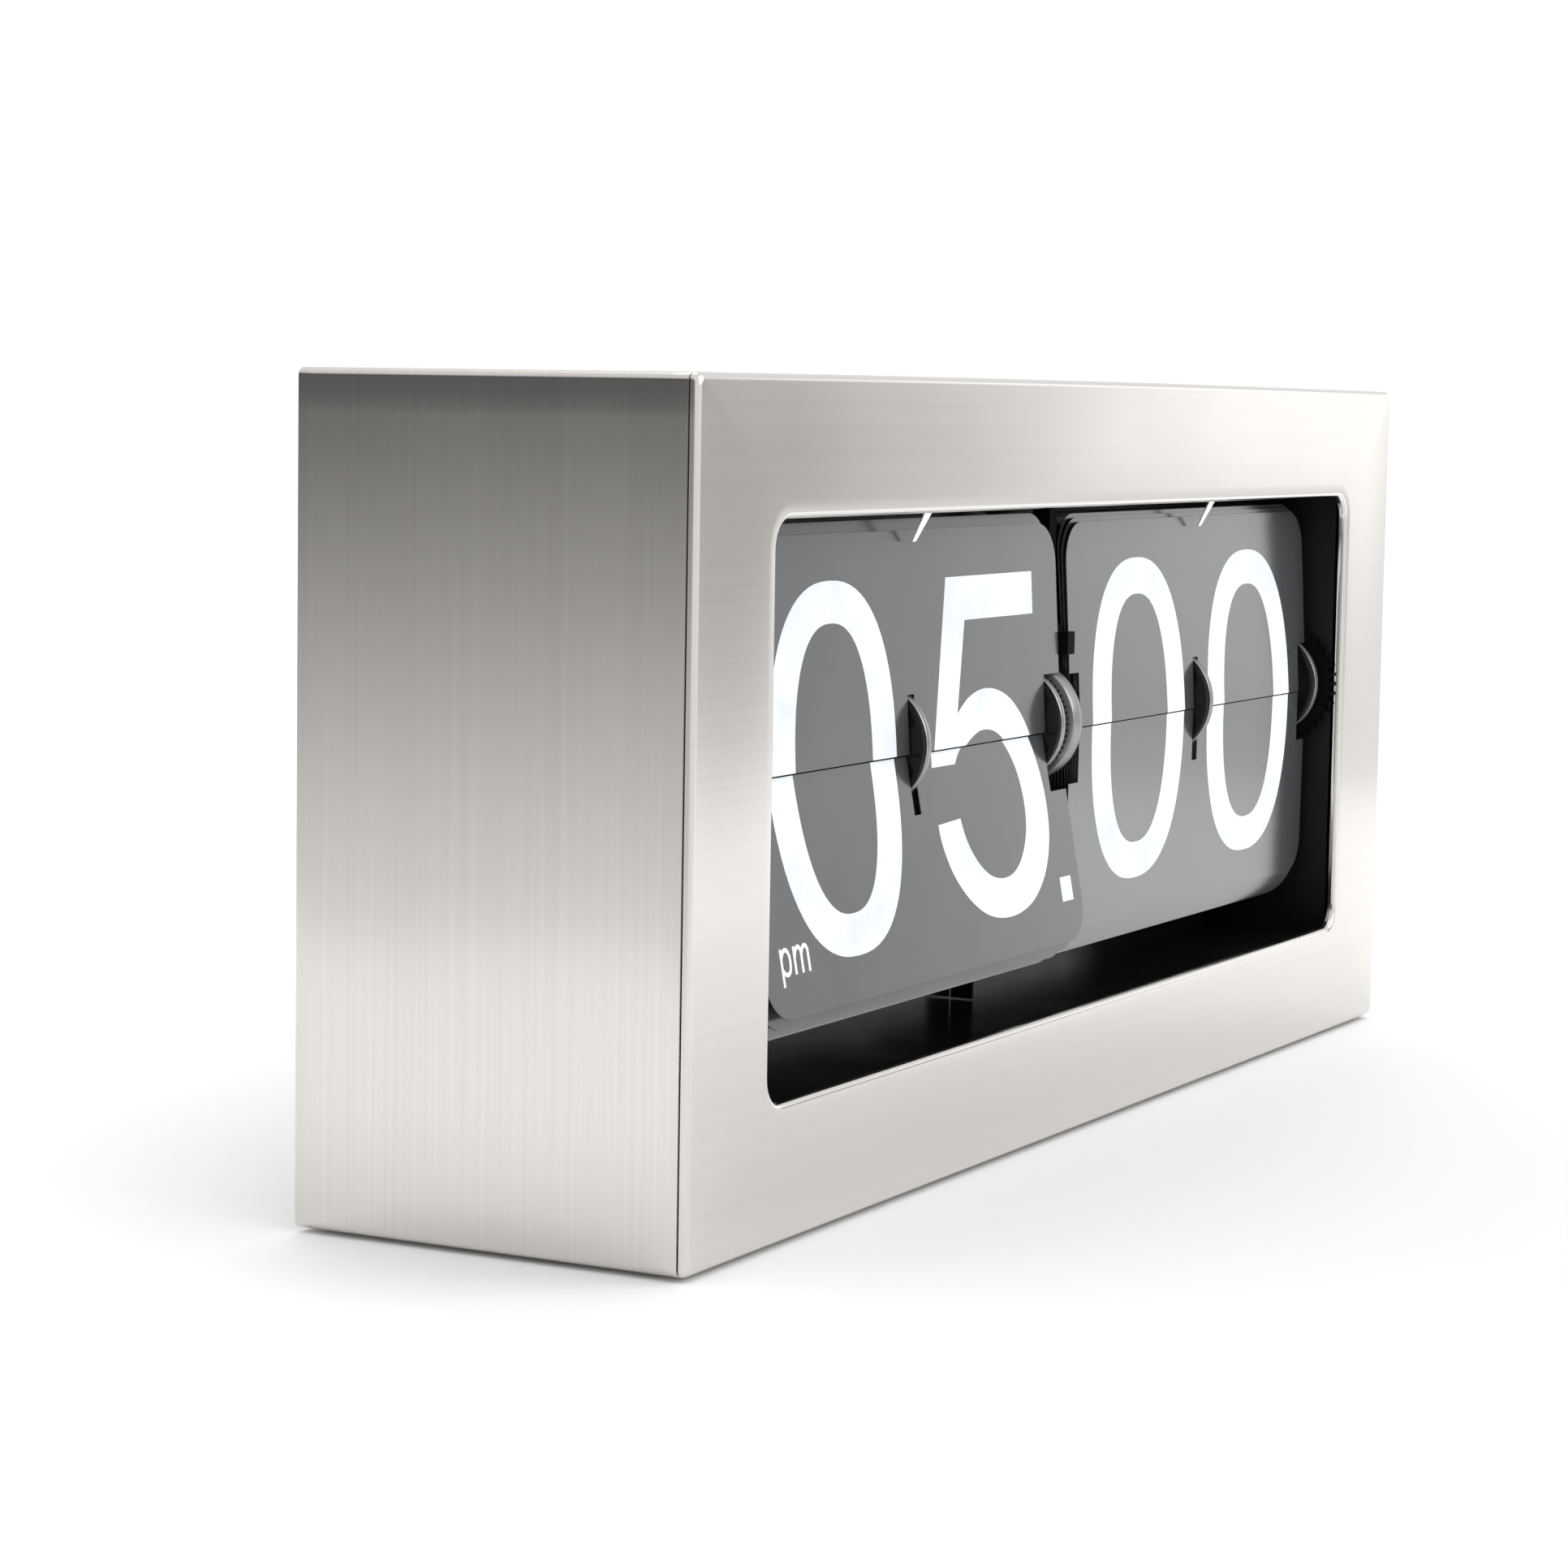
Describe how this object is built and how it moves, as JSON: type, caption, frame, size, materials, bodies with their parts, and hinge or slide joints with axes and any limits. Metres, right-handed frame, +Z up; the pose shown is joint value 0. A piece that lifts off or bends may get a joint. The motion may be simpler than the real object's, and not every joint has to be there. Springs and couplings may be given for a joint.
{
  "type": "flip number clock",
  "caption": "Free-standing flip clock: brushed steel box with an open window onto hour and minute number cards on turning drums.",
  "frame": {"origin": "middle of the footprint, on the surface that the clock stands on", "axes": "+X to the clock's right seen from the front, +Y towards the back, +Z up; the reader looks along +Y"},
  "size_m": [0.36, 0.083, 0.16],
  "materials": {
    "case_steel": "brushed stainless steel, satin",
    "black_plastic": "moulded black plastic",
    "card": "satin dark grey card with white printed numerals",
    "drum_plastic": "dark grey moulded plastic",
    "gear_plastic": "natural acetal",
    "spring_steel": "bright spring steel",
    "rubber": "matt rubber",
    "brass": "plain brass",
    "cell_wrap": "plain printed sleeve without lettering",
    "board": "green solder mask",
    "red_lead": "red insulated wire"
  },
  "bodies": {
    "root": {"case_sleeve": "case_steel", "front_bezel": "case_steel", "rear_cover": "black_plastic", "left_end_plate": "black_plastic", "right_end_plate": "black_plastic", "movement_base": "black_plastic", "movement_roof": "black_plastic", "centre_bracket": "black_plastic", "catch_rail": "black_plastic", "centre_leaf_guide": "black_plastic", "battery_tray": "black_plastic", "battery_lead_minus": "black_plastic", "foot_pad_front_left": "rubber", "foot_pad_front_right": "rubber", "foot_pad_rear_left": "rubber", "foot_pad_rear_right": "rubber", "cover_screw_left_low": "spring_steel", "cover_screw_left_high": "spring_steel", "cover_screw_right_low": "spring_steel", "cover_screw_right_high": "spring_steel", "main_axle": "spring_steel", "leaf_catch_hour": "spring_steel", "leaf_catch_minute": "spring_steel", "idler_arbor": "spring_steel", "drive_motor": "spring_steel", "battery_contact_spring": "spring_steel", "hour_leaf_next": "card", "hour_leaf_lower": "card", "hour_leaf_fan": "card", "hour_leaf_pile": "card", "minute_leaf_next": "card", "minute_leaf_lower": "card", "minute_leaf_fan": "card", "minute_leaf_pile": "card", "battery_contact_plus": "brass", "battery_cell": "cell_wrap", "drive_board": "board", "battery_lead_plus": "red_lead"},
    "hour_drum": {"hour_drum_core": "drum_plastic", "hour_disc_left": "drum_plastic", "hour_disc_centre": "drum_plastic", "hour_disc_right": "drum_plastic", "hour_drum_gear": "black_plastic"},
    "minute_drum": {"minute_drum_core": "drum_plastic", "minute_disc_left": "drum_plastic", "minute_disc_centre": "drum_plastic", "minute_disc_right": "drum_plastic", "minute_drum_collar": "drum_plastic", "minute_drive_gear": "gear_plastic"},
    "transfer_shaft": {"transfer_arbor": "spring_steel", "transfer_wheel": "gear_plastic", "transfer_pinion": "gear_plastic"},
    "idler": {"idler_gear": "gear_plastic"},
    "motor_shaft": {"motor_pinion": "brass"},
    "time_setter": {"time_set_wheel": "black_plastic", "time_set_gear": "gear_plastic", "time_set_arbor": "spring_steel"},
    "hour_card": {"hour_leaf_upper": "card"},
    "minute_card": {"minute_leaf_upper": "card"},
    "battery_door": {"battery_door": "black_plastic"}
  },
  "joints": [
    {"name": "minute_drum_turn", "type": "hinge", "parent": "root", "child": "minute_drum", "pos_m": [0, -0.0243, 0.0872], "axis": [1, 0, 0], "continuous": true},
    {"name": "hour_drum_turn", "type": "hinge", "parent": "root", "child": "hour_drum", "pos_m": [0, -0.0243, 0.0872], "axis": [1, 0, 0], "continuous": true},
    {"name": "transfer_turn", "type": "hinge", "parent": "root", "child": "transfer_shaft", "pos_m": [0, -0.0103, 0.0872], "axis": [1, 0, 0], "continuous": true},
    {"name": "idler_turn", "type": "hinge", "parent": "root", "child": "idler", "pos_m": [0, 0.0027, 0.0872], "axis": [1, 0, 0], "continuous": true},
    {"name": "motor_turn", "type": "hinge", "parent": "root", "child": "motor_shaft", "pos_m": [0, 0.0027, 0.07145], "axis": [1, 0, 0], "continuous": true},
    {"name": "time_set_turn", "type": "hinge", "parent": "root", "child": "time_setter", "pos_m": [0, 0.0222, 0.0872], "axis": [1, 0, 0], "continuous": true},
    {"name": "hour_leaf_flip", "type": "hinge", "parent": "root", "child": "hour_card", "pos_m": [0, -0.03287, 0.08651], "axis": [1, 0, 0], "range_deg": [0, 170], "deforming": ["leaf_catch_hour"]},
    {"name": "minute_leaf_flip", "type": "hinge", "parent": "root", "child": "minute_card", "pos_m": [0, -0.03279, 0.08584], "axis": [1, 0, 0], "range_deg": [0, 172], "deforming": ["leaf_catch_minute"]},
    {"name": "battery_door_hinge", "type": "hinge", "parent": "root", "child": "battery_door", "pos_m": [0.06, 0.0346, 0.0056], "axis": [-1, 0, 0], "range_deg": [0, 85]}
  ],
  "couplings": [
    {"joint": "hour_drum_turn", "follows": "minute_drum_turn", "ratio": 0.041667},
    {"joint": "transfer_turn", "follows": "minute_drum_turn", "ratio": -0.25},
    {"joint": "idler_turn", "follows": "minute_drum_turn", "ratio": -1.25},
    {"joint": "motor_turn", "follows": "minute_drum_turn", "ratio": 4},
    {"joint": "time_set_turn", "follows": "minute_drum_turn", "ratio": 2}
  ]
}
